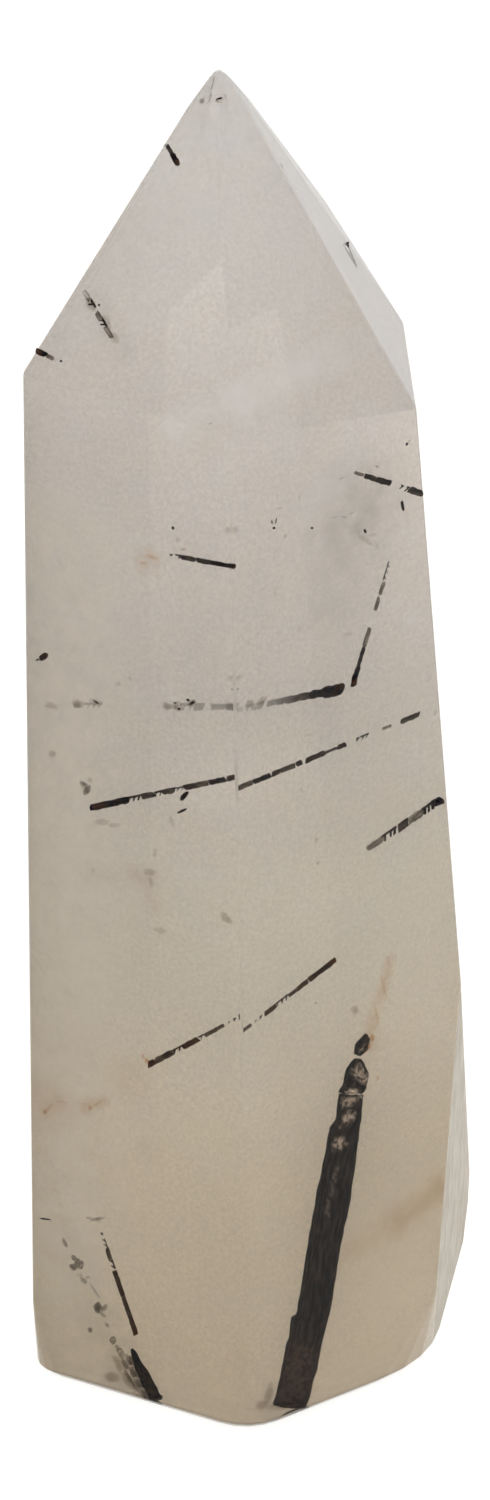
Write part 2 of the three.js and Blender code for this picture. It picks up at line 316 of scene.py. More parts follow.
# A needle has its outer end on the side named first, and is a row of closed pieces. Each is: from
# and to, in mm from that end, its width in mm, and how far clear quartz in its cracks pales it, 0 to 1
NEEDLES = {
    "corner_needle": (LEFT, (
        (0.3, 1.0, 0.46, 0.0), (1.02, 1.7, 0.44, 0.2), (1.72, 2.6, 0.44, 0.05), (2.62, 3.55, 0.4, 0.35),
        (3.66, 5.05, 0.42, 0.0), (5.1, 5.6, 0.32, 0.6), (5.65, 6.9, 0.32, 0.2), (6.95, 7.5, 0.28, 0.2),
        (7.95, 8.1, 0.14, 0.4), (8.4, 8.65, 0.24, 0.3), (8.95, 9.9, 0.4, 0.05), (9.93, 11.2, 0.4, 0.45),
        (11.25, 11.95, 0.34, 0.1), (12.1, 13.1, 0.4, 0.1), (13.2, 15.8, 0.44, 0.0),
    )),
    "long_needle": (LEFT, (
        (0.25, 3.3, 0.5, 0.0), (3.32, 4.5, 0.46, 0.35), (4.52, 5.6, 0.44, 0.1), (5.64, 6.4, 0.42, 0.6),
        (6.44, 7.4, 0.4, 0.15), (7.5, 8.2, 0.34, 0.65), (8.22, 9.2, 0.42, 0.05), (9.22, 10.1, 0.44, 0.2),
        (10.3, 11.7, 0.42, 0.0), (11.85, 12.5, 0.4, 0.1), (12.6, 13.8, 0.4, 0.25), (14.0, 14.35, 0.42, 0.1),
        (14.7, 16.3, 0.42, 0.05), (16.36, 17.3, 0.24, 0.2), (17.5, 18.1, 0.4, 0.1), (19.0, 19.2, 0.3, 0.3),
        (19.35, 20.1, 0.36, 0.55), (21.3, 22.0, 0.25, 0.75), (22.9, 24.4, 0.4, 0.2),
    )),
    "blunt_needle": (RIGHT, (
        (0.2, 2.2, 0.84, 0.0), (2.22, 3.6, 0.64, 0.05), (3.62, 4.9, 0.56, 0.15), (4.95, 6.6, 0.54, 0.05),
        (6.7, 7.5, 0.5, 0.05), (7.65, 8.6, 0.46, 0.15), (9.3, 9.9, 0.6, 0.2), (10.1, 11.1, 0.56, 0.5),
        (11.5, 12.4, 0.36, 0.85), (17.7, 19.0, 0.46, 0.6), (19.5, 20.0, 0.36, 0.85),
    )),
    "steep_needle": (FRONT, (
        (0.15, 1.5, 0.44, 0.0), (1.52, 3.1, 0.32, 0.1), (3.3, 4.7, 0.36, 0.72), (6.3, 7.2, 0.32, 0.72),
        (7.6, 8.4, 0.34, 0.72), (8.7, 10.2, 0.32, 0.6),
    )),
    "edge_needle": (RIGHT, (
        (0.42, 0.95, 0.72, 0.0), (1.05, 2.2, 0.7, 0.35), (2.25, 3.6, 0.62, 0.8), (3.65, 4.7, 0.66, 0.12),
        (4.8, 6.2, 0.62, 0.4), (6.25, 7.6, 0.5, 0.85),
    )),
    "shoulder_needle": (RIGHT, (
        (0.3, 1.35, 0.5, 0.12), (1.45, 1.6, 0.44, 0.4), (1.95, 2.1, 0.4, 0.4), (3.05, 4.2, 0.46, 0.05),
        (4.22, 5.3, 0.38, 0.1), (5.45, 6.2, 0.24, 0.72),
    )),
    "rusty_needle": (FRONT, (
        (0.0, 0.35, 0.38, 0.0), (0.42, 2.2, 0.32, 0.0), (2.22, 3.8, 0.36, 0.1), (4.15, 5.3, 0.38, 0.1),
        (5.35, 6.0, 0.36, 0.35), (6.3, 6.6, 0.2, 0.3),
    )),
    "short_needle": (DOWN, (
        (0.5, 1.9, 0.42, 0.0), (1.92, 3.6, 0.4, 0.1), (3.62, 5.6, 0.42, 0.0), (5.78, 6.6, 0.38, 0.35),
        (6.62, 7.4, 0.36, 0.2), (7.45, 8.2, 0.28, 0.4), (8.5, 8.7, 0.18, 0.1),
    )),
    "left_stub": (FRONT, (
        (0.15, 1.5, 0.42, 0.0), (2.0, 2.65, 0.3, 0.6),
    )),
    "tip_needle": (FRONT, (
        (0.1, 1.1, 0.4, 0.0), (1.13, 2.1, 0.3, 0.1),
    )),
    "tip_sliver": (RIGHT, (
        (0.0, 1.2, 0.36, 0.0), (1.22, 2.1, 0.28, 0.1),
    )),
    "shoulder_dash": (LEFT, (
        (0.0, 0.85, 0.42, 0.0), (0.9, 1.5, 0.3, 0.75),
    )),
    "ghost_needle": (LEFT, (
        (0.0, 0.8, 0.36, 0.8), (0.85, 1.5, 0.46, 0.5), (1.9, 2.5, 0.36, 0.8), (2.5, 3.3, 0.46, 0.5),
        (3.35, 4.3, 0.34, 0.85),
    )),
}

# Outlines of the thick rods in the photograph: row, left edge and right edge, with the depth of each
# rod's middle under the polished face at its first and last row, in mm
RODS = {
    "rod_tip": ((1.52, 1.57), (
        (1034, 365, 368), (1038, 362, 370.5), (1043, 358, 370), (1047, 356, 369), (1051, 355, 364),
        (1055, 354.5, 360),
    )),
    "rod_crown": ((1.58, 1.66), (
        (1059, 354, 360.5), (1063, 350, 363.5), (1069, 347, 365.5), (1074, 346.5, 367.5),
        (1082, 343.5, 366.5), (1088, 341.5, 365), (1092, 340, 362.5),
    )),
    "big_rod": ((1.67, 2.2), (
        (1095, 339.5, 362.5), (1102, 338, 362.5), (1110, 337, 362), (1117, 337, 361.5),
        (1121, 336, 361), (1125, 333, 360), (1128, 330.5, 360), (1137, 328.5, 359), (1148, 327, 357.5),
        (1165, 323.5, 355.5), (1179, 321, 353.5), (1192, 317.5, 351.5), (1206, 315.5, 349.5),
        (1220, 312.5, 347), (1228, 311.5, 344.5), (1244, 308.5, 341.5), (1256, 306.5, 339),
        (1269, 304.5, 337.5), (1283, 302.5, 335), (1297, 300, 333), (1310, 298, 330.5),
        (1316, 296, 329.5), (1318, 292, 328.5), (1330, 290.5, 326), (1338, 290, 323.5),
        (1346, 286.5, 322), (1357, 284.5, 320), (1371, 282, 317), (1384, 279, 313), (1395, 276.5, 311),
        (1404, 273.5, 308),
    )),
    "smoky_rod": ((2.7, 0.75), (
        (1349, 130.5, 133), (1353, 131, 136), (1359, 133, 139.5), (1366, 135, 143), (1373, 137.5, 147),
        (1381, 141, 151), (1389, 145, 155.5), (1397, 149, 160), (1404, 153.5, 164),
    )),
}

# Loose grains, hazes, flakes and cracks, each: its pixel of the photograph, its depth under the
# polished face, its width and its height in mm, and its turn in degrees
DARK_GRAINS = (
    (173, 528, 1.0, 0.22, 0.22, 0), (274, 528, 1.0, 0.24, 0.2, 0), (276, 521, 1.0, 0.1, 0.5, -15),
    (312, 528, 1.2, 0.18, 0.18, 0), (407, 444, 0.6, 0.26, 0.2, 30), (365, 531, 1.0, 0.2, 0.36, 30),
    (402.5, 506, 0.6, 0.26, 0.8, 14), (219, 99, 0.4, 0.42, 0.16, 40), (282, 166, 0.5, 0.18, 0.5, 20),
    (272, 522, 0.9, 0.12, 0.3, 15), (45, 1219, 0.6, 1.0, 0.12, 0), (238, 689, 0.8, 0.12, 0.1, 0),
    (184, 796, 0.9, 1.0, 0.32, 48), (182, 811, 0.9, 0.85, 0.16, 28), (61, 361, 0.8, 0.18, 0.16, 0),
    (99, 305, 0.8, 0.16, 0.2, 0), (316, 1003, 0.8, 0.14, 0.1, 0),
    (179, 709, 0.7, 0.24, 0.2, 0), (192, 703, 0.7, 0.5, 0.2, 35), (175, 703, 0.8, 0.3, 0.12, 0),
    (96, 702, 0.8, 0.5, 0.12, -20),
    (350, 256, 0.3, 0.3, 1.9, 25), (188, 700, 0.7, 0.3, 0.2, -20),
)
GREY_SMUDGES = (
    (365, 540, 1.4, 1.6, 0.4, -35), (373, 535, 1.3, 0.7, 0.3, 0), (178, 540, 1.0, 0.35, 0.5, 0),
    (90, 1218, 0.9, 0.6, 0.3, 10), (98, 1220, 0.9, 0.6, 0.5, 40), (85, 788, 1.2, 0.6, 1.1, 40),
    (102, 822, 1.2, 1.4, 0.5, 10), (114, 825, 1.2, 1.2, 0.4, 5), (118, 684, 1.0, 0.5, 0.4, 0),
    (130, 679, 1.0, 0.5, 0.4, 0), (52, 754, 1.0, 0.7, 0.6, 0), (316, 840, 1.2, 0.4, 0.6, 0),
    (302, 790, 1.2, 0.3, 0.7, 20), (435, 713, 0.8, 0.4, 0.4, 0), (226, 918, 1.0, 1.3, 0.7, -45),
    (160, 930, 1.0, 1.2, 0.5, 0), (232, 678, 1.0, 0.9, 0.4, 20), (275, 593, 1.0, 0.3, 0.3, 0),
    (258, 633, 1.0, 0.3, 0.3, 0), (299, 628, 1.0, 0.3, 0.6, 0), (348, 634, 0.9, 1.1, 0.3, 0),
    (113, 340, 1.0, 0.5, 0.5, 0), (150, 872, 1.0, 1.0, 0.6, 0), (93, 870, 1.0, 0.4, 0.4, 0),
    (151, 882, 1.0, 0.4, 0.9, 10), (231, 530, 1.0, 0.6, 0.5, 0), (285, 536, 1.0, 0.4, 0.4, 0),
    (172, 822, 1.0, 0.4, 1.1, 20), (155, 853, 1.0, 0.4, 0.8, 0), (355, 1010, 1.2, 0.7, 0.8, 0),
    (377, 545, 1.2, 0.7, 0.24, -60), (358, 532, 1.2, 0.5, 0.3, 0), (90, 780, 1.0, 0.5, 0.5, 0),
    (121, 1367, 1.2, 0.9, 2.4, 35), (129, 1381, 1.1, 0.9, 2.1, 35), (112, 1377, 1.2, 1.4, 1.0, 0),
    (269, 1394, 1.1, 0.7, 2.4, -10), (262, 1405, 0.6, 0.8, 0.8, 0),
    (277, 1407, 0.5, 2.0, 0.6, -10), (300, 1404, 0.5, 1.8, 0.6, -20),
    (166, 706, 0.8, 0.7, 0.7, 0), (178, 707, 0.8, 0.8, 0.8, 0), (192, 704, 0.8, 1.0, 0.6, 20),
    (213, 705, 0.8, 0.7, 0.4, 0), (230, 705, 0.8, 0.6, 0.5, 0), (96, 703, 0.9, 1.3, 0.5, -10),
    (78, 704, 0.9, 1.2, 0.7, 0), (52, 706, 0.9, 1.2, 0.6, 0), (98, 701, 0.7, 1.0, 0.24, -15),
    (250, 704, 0.8, 0.7, 0.7, 0), (262, 701, 0.8, 0.9, 0.7, 30), (91, 304, 0.8, 0.8, 1.3, 28),
    (107, 322, 0.9, 0.5, 1.3, 30), (115, 338, 0.9, 0.6, 0.9, 30), (87, 297, 0.6, 0.5, 0.7, 30),
)
RUSTY_HAZES = (
    (49, 1108, 0.7, 1.1, 0.22, 50), (62, 1102, 0.7, 1.2, 0.16, 0), (97, 1104, 0.7, 1.1, 0.24, 40),
    (82, 1104, 0.8, 1.2, 0.16, -5), (45, 1112, 0.8, 0.4, 0.5, 0), (90, 1108, 0.8, 0.4, 0.5, 0),
    (372, 1038, 1.2, 0.5, 0.7, 0), (377, 1016, 1.2, 0.22, 2.4, 15), (384, 988, 1.2, 0.18, 2.2, 15),
    (389, 962, 1.2, 0.18, 1.2, 15), (367, 1046, 1.4, 0.7, 0.9, 0), (378, 1078, 1.2, 0.26, 0.6, 0),
    (147, 1061, 0.9, 0.5, 0.5, 0), (143, 1056, 1.0, 0.3, 0.5, 0), (152, 557, 1.0, 1.0, 0.3, -10),
    (143, 563, 1.0, 0.7, 0.24, 0), (183, 549, 1.0, 0.6, 0.26, 0),
)
# The smoky rod goes on inwards as a trail of loose bits, and a few such bits lie by the other rods
SMOKY_TRAIL = (
    (121, 1355, 0.8, 0.45, 0.8, 20), (113, 1340, 0.8, 0.4, 0.36, 0), (104, 1308, 0.9, 0.95, 0.4, 55),
    (103, 1315, 0.9, 0.8, 0.3, -35), (98, 1308, 1.1, 0.8, 0.9, 0), (95, 1291, 1.0, 0.22, 1.5, 35),
    (79, 1264, 1.0, 0.8, 0.8, 20), (73, 1267, 1.1, 0.7, 0.6, 0), (74, 1258, 1.0, 0.5, 0.5, 0),
    (84, 1281, 1.0, 0.3, 0.3, 0), (65, 1243, 1.2, 0.4, 0.9, 25), (90, 1330, 1.2, 0.4, 0.5, 0),
    (107, 1325, 1.2, 0.3, 0.5, 30), (117, 1347, 1.0, 0.4, 0.4, 0), (88, 1218, 0.9, 0.5, 0.2, 0),
    (125, 1364, 0.8, 0.5, 1.2, 30), (129, 1378, 0.8, 0.45, 1.4, 32), (136, 1388, 0.7, 0.4, 1.2, 35),
    (284, 1404, 0.4, 1.4, 0.4, -8), (298, 1401, 0.4, 1.2, 0.4, -15), (193, 702, 0.7, 0.5, 0.4, 45),
    (202, 101, 0.5, 0.4, 0.4, 0),
    (131, 1362, 0.9, 0.7, 1.4, 28), (135, 1374, 0.9, 0.8, 1.6, 28), (140, 1386, 0.8, 0.8, 1.5, 30),
    (145, 1394, 0.7, 0.8, 1.1, 32), (84, 784, 1.0, 0.8, 0.4, -20), (87, 790, 1.0, 0.5, 1.0, -30),
    (78, 1262, 0.9, 0.55, 0.9, 20), (84, 1281, 1.0, 0.6, 0.4, -35), (113, 1340, 1.1, 0.6, 0.7, 0),
    (121, 1353, 1.0, 0.6, 1.1, 25), (97, 1219, 1.0, 1.3, 0.3, 15),
)
PALE_FLAKES = (
    (299.5, 497, 0.7, 0.1, 0.6, 0), (342, 478, 0.8, 0.5, 0.16, 25), (377, 466, 0.8, 0.4, 0.2, -30),
    (335, 517, 0.8, 0.6, 0.12, 10), (344, 517, 0.8, 0.5, 0.12, -12), (352, 513, 0.8, 0.5, 0.12, 20),
    (210, 424, 0.7, 0.35, 0.16, 20), (280, 508, 0.8, 0.3, 0.14, 0), (308, 735, 0.8, 0.7, 0.1, 5),
    (267, 732, 0.8, 0.3, 0.12, 0), (318, 863, 0.3, 0.26, 0.28, 0), (317, 858, 0.3, 0.1, 0.3, 0),
    (182, 549, 0.8, 0.3, 0.16, -20), (220, 101, 0.3, 0.34, 0.26, 0), (409, 441, 0.5, 0.2, 0.2, 0),
    (80, 1276, 2.0, 0.5, 0.4, 20), (88, 1278, 2.0, 0.3, 0.3, 0), (139, 1395, 0.5, 1.2, 0.24, -12),
)
ROD_CRACKS = (
    (352, 1093, 0.3, 1.5, 0.16, -16), (360, 1095, 0.3, 0.7, 0.2, -20), (363, 1072, 0.3, 0.16, 0.5, -20),
)


def piece_from(bm, name, finish, slot, *nodes):
    """Turn a shape in mm into a piece of the crystal, with its finish, in place of the named CAD nodes."""
    bmesh.ops.scale(bm, vec=(MM, MM, MM), verts=bm.verts)
    mesh = bpy.data.meshes.new(name)
    bm.to_mesh(mesh)
    bm.free()
    mesh.shade_flat()
    mesh.materials.append(finish)
    piece = bpy.data.objects.new(name, mesh)
    bpy.context.scene.collection.objects.link(piece)
    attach(piece, "root")
    if nodes:
        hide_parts(*nodes)


def node_shape(node):
    """Return a merged copy of a CAD node's mesh, in mm."""
    bm = bmesh.new()
    bm.from_mesh(bpy.data.objects[node].data)
    bmesh.ops.scale(bm, vec=(1 / MM, 1 / MM, 1 / MM), verts=bm.verts)
    bmesh.ops.remove_doubles(bm, verts=bm.verts, dist=MERGE_WITHIN)
    return bm


def large_sides(bm):
    """Return each large flat side's way and how far out it lies, the far sides pushed out for their milk."""
    return [
        (
            face.normal.copy(),
            face.normal.dot(face.verts[0].co) + (0 if face.normal.y < FRONT_FACING else FAR_SIDE_MILK),
        )
        for face in bm.faces if face.calc_area() > LARGE_SIDE
    ]


def round_edges(bm):
    """Round off every edge and corner, and mark the long upright edges as worn."""
    worn = bm.faces.layers.float.new("worn_edge")
    rounded = bmesh.ops.bevel(
        bm, geom=bm.edges[:] + bm.verts[:], offset=EDGE_ROUNDING, offset_type="OFFSET", affect="EDGES",
        segments=EDGE_STEPS, profile=0.5, material=-1,
    )
    for face in rounded["faces"]:
        if abs(face.normal.z) < UPRIGHT:
            face[worn] = 1.0


def mark_shaded_foot(bm):
    """Mark the small faces round the flat base, which get a painted shade where the crystal meets the floor.
    """
    painted_foot_shade = bm.faces.layers.float.new("painted_foot_shade")
    for face in bm.faces:
        if max(corner.co.z for corner in face.verts) < FOOT_HEIGHT and face.normal.z > -FLAT_DOWN:
            face[painted_foot_shade] = 1.0


def clear_form():
    """Return the crystal's form without its channels, its edges just rounded, and its large sides."""
    bm = node_shape("quartz_point")
    bmesh.ops.delete(bm, geom=bm.edges[:], context="EDGES_FACES")
    bmesh.ops.convex_hull(bm, input=bm.verts)
    inner = [corner for corner in bm.verts if not corner.link_faces]
    bmesh.ops.delete(bm, geom=inner, context="VERTS")
    bmesh.ops.dissolve_limit(bm, angle_limit=FLAT_WITHIN, verts=bm.verts, edges=bm.edges)
    bmesh.ops.recalc_face_normals(bm, faces=bm.faces)
    sides = large_sides(bm)
    round_edges(bm)
    mark_shaded_foot(bm)
    return bm, sides


def set_camera():
    """Set the camera at the photograph's angle and return it."""
    data = bpy.data.cameras.new("photo_camera")
    data.sensor_fit = "VERTICAL"
    data.sensor_height = SENSOR_HEIGHT
    data.lens = SENSOR_HEIGHT * LENS_PIXELS / PHOTO_HEIGHT
    camera = bpy.data.objects.new("photo_camera", data)
    away = Vector((0, -math.cos(CAMERA_ELEVATION), math.sin(CAMERA_ELEVATION)))
    camera.location = (AIM + away * CAMERA_DISTANCE) * MM
    camera.rotation_euler = (math.pi / 2 - CAMERA_ELEVATION, 0, 0)
    bpy.context.scene.collection.objects.link(camera)
    bpy.context.scene.camera = camera
    return camera


def sight_line(camera, pixel):
    """Return the way from the camera through a pixel of the photograph."""
    across = (pixel[0] - PHOTO_WIDTH / 2) / LENS_PIXELS
    upwards = (PHOTO_HEIGHT / 2 - pixel[1]) / LENS_PIXELS
    way = camera.rotation_euler.to_matrix() @ Vector((across, upwards, -1))
    return way.normalized()


def under_skin(camera, skin, pixel, depth=0.0):
    """Return the point, in mm, that shows at a pixel when it lies at a depth under the polished face."""
    way = sight_line(camera, pixel)
    place, normal, _, _ = skin.ray_cast(camera.location / MM, way)
    slant = -way.dot(normal)
    bent = math.sqrt(1 - (1 - slant * slant) / QUARTZ_IOR ** 2)
    inwards = way / QUARTZ_IOR + normal * (slant / QUARTZ_IOR - bent)
    return place + inwards * depth / bent


def axis_of(node, outer_side):
    """Return the two ends of a straight CAD needle's axis, in mm, the one on its outer side first."""
    bm = node_shape(node)
    corners = [corner.co.copy() for corner in bm.verts]
    bm.free()
    farthest = max(combinations(corners, 2), key=lambda pair: (pair[0] - pair[1]).length)
    halves = [
        [corner for corner in corners if min(farthest, key=lambda end: (end - corner).length) is mark]
        for mark in farthest
    ]
    centres = [sum(half, Vector()) / len(half) for half in halves]
    way = (centres[1] - centres[0]).normalized()
    along = [(corner - centres[0]).dot(way) for corner in corners]
    ends = [centres[0] + way * min(along), centres[0] + way * max(along)]
    return sorted(ends, key=lambda end: -end.dot(outer_side))


def rod_bmesh():
    """Return an empty bmesh with the two layers that the tourmaline finish reads."""
    bm = bmesh.new()
    bm.verts.layers.float_vector.new("grain")
    bm.verts.layers.float.new("pallor")
    return bm


def join_to(whole, part):
    """Add one bmesh to another and free it."""
    mesh = bpy.data.meshes.new("part")
    part.to_mesh(mesh)
    part.free()
    whole.from_mesh(mesh)
    bpy.data.meshes.remove(mesh)


def noise_shift(dice):
    """Return a place of its own for a shape to read the noise at."""
    return Vector([dice.uniform(0, NOISE_SHIFT) for _ in range(3)])


def add_rod(whole, start, end, width, pallor, dice, distance):
    """Add one closed rod between two points, ridged along its length and uneven, its ends broken off."""
    bm = rod_bmesh()
    length = (end - start).length
    bmesh.ops.create_cone(
        bm, cap_ends=True, segments=NEEDLE_SIDES, radius1=width / 2, radius2=width / 2, depth=length,
    )
    long_edges = [edge for edge in bm.edges if abs(edge.verts[0].co.z - edge.verts[1].co.z) > length / 2]
    cuts = max(1, round(length / RING_SPACING) - 1)
    bmesh.ops.subdivide_edges(bm, edges=long_edges, cuts=cuts, use_grid_fill=True)
    rings = [
        (
            1 + dice.uniform(-RING_UNEVENNESS, RING_UNEVENNESS),
            Vector((dice.uniform(-1, 1), dice.uniform(-1, 1), 0)) * RING_WANDER * width,
        )
        for _ in range(cuts + 2)
    ]
    for index in (0, -1):
        rings[index] = (dice.uniform(*END_TAPER), rings[index][1])
    turn = dice.uniform(0, math.tau)
    slants = [Vector((dice.uniform(-1, 1), dice.uniform(-1, 1))) * END_SLANT for _ in range(2)]
    grain = bm.verts.layers.float_vector["grain"]
    pale = bm.verts.layers.float["pallor"]
    for corner in bm.verts:
        spot = corner.co
        share = spot.z / length + 0.5
        scale, wander = rings[round(share * (cuts + 1))]
        ridge = 1 + RIDGE_HEIGHT * math.cos(RIDGES * math.atan2(spot.y, spot.x) + turn)
        slant = slants[0].dot(spot.xy) * (1 - share) + slants[1].dot(spot.xy) * share
        spot = Vector((spot.x * scale * ridge, spot.y * scale * ridge, spot.z + slant)) + wander
        corner.co = spot
        corner[grain] = spot + Vector((0, 0, distance))
        corner[pale] = pallor
    turned = (end - start).to_track_quat("Z", "Y").to_matrix().to_4x4()
    bmesh.ops.transform(bm, matrix=Matrix.Translation((start + end) / 2) @ turned, verts=bm.verts)
    join_to(whole, bm)


def add_needle_piece(bm, start, end, width, pallor, dice, distance):
    """Add a piece of a needle: one rod, dark or pale, or where it is shattered a row of slanting chips."""
    if not CHIPPED_FROM <= pallor < CHIPPED_UNTIL:
        add_rod(bm, start, end, width, pallor, dice, distance)
        return
    way = (end - start).normalized()
    upwards = way.cross(FRONT).normalized()
    if upwards.z < 0:
        upwards.negate()
    rightwards = way if way.x > 0 else -way
    spine = upwards * width * SPINE_SHIFT
    add_rod(bm, start + spine, end + spine, width * SPINE_WIDTH, SPINE_PALLOR, dice, distance)
    chips = max(1, round((end - start).length / CHIP_SPACING))
    for count in range(chips):
        middle = start.lerp(end, (count + dice.uniform(*CHIP_PLACE)) / chips)
        slant = rightwards * CHIP_REACH + upwards * width * dice.uniform(*CHIP_LEAN)
        thin = width * (1 - pallor) * dice.uniform(*CHIP_THICKNESS)
        add_rod(bm, middle - slant, middle + slant, thin, 0.0, dice, distance)


def needle(node, finish):
    """Make one thin needle from its row of broken pieces."""
    side, pieces = NEEDLES[node]
    outer, inner = axis_of(node, side)
    way = (inner - outer).normalized()
    dice = random.Random(node)
    bm = rod_bmesh()
    for begin, finish_at, width, pallor in pieces:
        add_needle_piece(bm, outer + way * begin, outer + way * finish_at, width, pallor, dice, begin)
    piece_from(bm, f"broken_{node}", finish, "tourmaline", node)


def rod_middles(camera, skin, name):
    """Return the middle of a thick rod and its half width, in mm, at each row of its outline."""
    (first_depth, last_depth), rows = RODS[name]
    middles = []
    for row, left, right in rows:
        share = (row - rows[0][0]) / (rows[-1][0] - rows[0][0])
        depth = first_depth + (last_depth - first_depth) * share
        middle = under_skin(camera, skin, ((left + right) / 2, row), depth)
        middles.append((middle, (right - left) / 2 / PIXELS_PER_MM / SLANT_NARROWS))
    return middles


def add_thick_rod(whole, middles, lumpiness, pallor, dice):
    """Add a closed rod through its middles, ridged along its length, lumpy and broken off at its ends."""
    reached = [0.0]
    for (before, _), (after, _) in zip(middles, middles[1:]):
        reached.append(reached[-1] + (after - before).length)
    rings = round(reached[-1] / ROD_RING_SPACING) + 1
    bm = rod_bmesh()
    bmesh.ops.create_cone(bm, cap_ends=True, segments=ROD_SIDES, radius1=1, radius2=1, depth=1)
    long_edges = [edge for edge in bm.edges if abs(edge.verts[0].co.z - edge.verts[1].co.z) > 0.5]
    bmesh.ops.subdivide_edges(bm, edges=long_edges, cuts=rings - 2, use_grid_fill=True)
    way = (middles[-1][0] - middles[0][0]).normalized()
    side = (RIGHT - way * RIGHT.dot(way)).normalized()
    depthwise = side.cross(way)
    turn = dice.uniform(0, math.tau)
    shift = noise_shift(dice)
    grain = bm.verts.layers.float_vector["grain"]
    pale = bm.verts.layers.float["pallor"]
    for corner in bm.verts:
        angle = math.atan2(corner.co.y, corner.co.x)
        along = (0.5 - corner.co.z) * reached[-1]
        step = max(index for index, value in enumerate(reached[:-1]) if value <= along + ROUNDING)
        share = (along - reached[step]) / (reached[step + 1] - reached[step])
        middle = middles[step][0].lerp(middles[step + 1][0], share)
        half = middles[step][1] * (1 - share) + middles[step + 1][1] * share
        round_about = Vector((math.cos(angle), math.sin(angle), along * LUMP_STRETCH))
        swell = 1 + lumpiness * noise.noise(round_about * LUMP_SCALE + shift)
        swell += sum(height * math.cos(count * angle + turn * count) for count, height in ROD_RIDGES)
        across = side * math.cos(angle) + depthwise * math.sin(angle) * ROD_FLATNESS
        corner[grain] = Vector((math.cos(angle) * half, math.sin(angle) * half, along))
        corner[pale] = pallor
        corner.co = middle + across * half * swell
    bmesh.ops.recalc_face_normals(bm, faces=bm.faces)
    join_to(whole, bm)


def thick_rod(name, finish, camera, skin):
    """Make one thick rod."""
    dice = random.Random(name)
    bm = rod_bmesh()
    lumpiness, pallor = ROD_LOOKS[name]
    add_thick_rod(bm, rod_middles(camera, skin, name), lumpiness, pallor, dice)
    piece_from(bm, f"ridged_{name}", finish, "tourmaline", name)


def add_grain(whole, place, width, height, turn, dice):
    """Add one small uneven grain or flake, facing the front."""
    bm = rod_bmesh()
    bmesh.ops.create_icosphere(bm, subdivisions=2, radius=0.5)
    shift = noise_shift(dice)
    for corner in bm.verts:
        corner.co *= 1 + GRAIN_UNEVENNESS * noise.noise(corner.co * GRAIN_SCALE + shift)
    bmesh.ops.scale(bm, vec=(width, min(width, height), height), verts=bm.verts)
    turned = Matrix.Rotation(-math.radians(turn), 3, "Y")
    bmesh.ops.rotate(bm, cent=(0, 0, 0), matrix=turned, verts=bm.verts)
    bmesh.ops.translate(bm, vec=place, verts=bm.verts)
    grain = bm.verts.layers.float_vector["grain"]
    for corner in bm.verts:
        corner[grain] = corner.co
    join_to(whole, bm)


def grains(name, table, finish, slot, camera, skin):
    """Make a handful of loose grains as one piece."""
    dice = random.Random(name)
    bm = rod_bmesh()
    for across, down, depth, width, height, turn in table:
        place = under_skin(camera, skin, (across, down), depth)
        add_grain(bm, place, width, height, turn, dice)
    piece_from(bm, name, finish, slot)


def add_node(tree, kind, values=None, wires=None, **settings):
    """Add a shader node, with its settings, its sockets' values and its sockets' wires."""
    made = tree.nodes.new(kind)
    for setting, value in settings.items():
        setattr(made, setting, value)
    for socket, value in (values or {}).items():
        made.inputs[socket].default_value = value
    for socket, source in (wires or {}).items():
        tree.links.new(source, made.inputs[socket])
    return made


def maths(tree, operation, values=None, wires=None, **settings):
    """Return what a step of arithmetic makes of plain numbers."""
    return add_node(tree, "ShaderNodeMath", values, wires, operation=operation, **settings).outputs[0]


def vector_maths(tree, operation, values=None, wires=None):
    """Return what a step of arithmetic makes of vectors: a vector, or a number where it measures them."""
    made = add_node(tree, "ShaderNodeVectorMath", values, wires, operation=operation)
    measures = operation in ("DOT_PRODUCT", "DISTANCE", "LENGTH")
    return made.outputs["Value" if measures else "Vector"]


def blend_colours(tree, share, under, over, mode="MIX"):
    """Lay one colour over another by a share, each of them a wire or a plain value."""
    mix = add_node(tree, "ShaderNodeMix", data_type="RGBA", blend_type=mode)
    for index, source in ((0, share), (6, under), (7, over)):
        if isinstance(source, bpy.types.NodeSocket):
            tree.links.new(source, mix.inputs[index])
        else:
            mix.inputs[index].default_value = source
    return mix.outputs[2]


def span(tree, value, low, high, to_low=0.0, to_high=1.0, smooth=False):
    """Stretch a value from one span to another, held inside it."""
    made = add_node(
        tree, "ShaderNodeMapRange", {1: low, 2: high, 3: to_low, 4: to_high}, {0: value},
        interpolation_type="SMOOTHSTEP" if smooth else "LINEAR",
    )
    return made.outputs[0]


def times(tree, first, second):
    """Multiply two values, the second a wire or a number."""
    if isinstance(second, bpy.types.NodeSocket):
        return maths(tree, "MULTIPLY", wires={0: first, 1: second})
    return maths(tree, "MULTIPLY", {1: second}, {0: first})


def colour_steps(tree, value, steps):
    """Run a value through colours at given places, from 0 to 1."""
    made = add_node(tree, "ShaderNodeValToRGB", wires={0: value})
    ramp = made.color_ramp
    while len(ramp.elements) < len(steps):
        ramp.elements.new(1)
    for element, (place, colour) in zip(ramp.elements, steps):
        element.position = place
        element.color = (*colour, 1)
    return made.outputs[0]


def cloud(tree, place, scale, detail, roughness=0.55, stretch=(1, 1, 1)):
    """Return soft noise of a given scale, in waves per mm, stretched along the axes."""
    mapped = add_node(tree, "ShaderNodeMapping", {"Scale": stretch}, {"Vector": place})
    values = {"Scale": scale, "Detail": detail, "Roughness": roughness}
    return add_node(tree, "ShaderNodeTexNoise", values, {"Vector": mapped.outputs[0]}).outputs[0]


def marked(tree, attribute):
    """Return the share of a mark on the mesh, such as wear."""
    return add_node(tree, "ShaderNodeAttribute", attribute_name=attribute).outputs["Fac"]


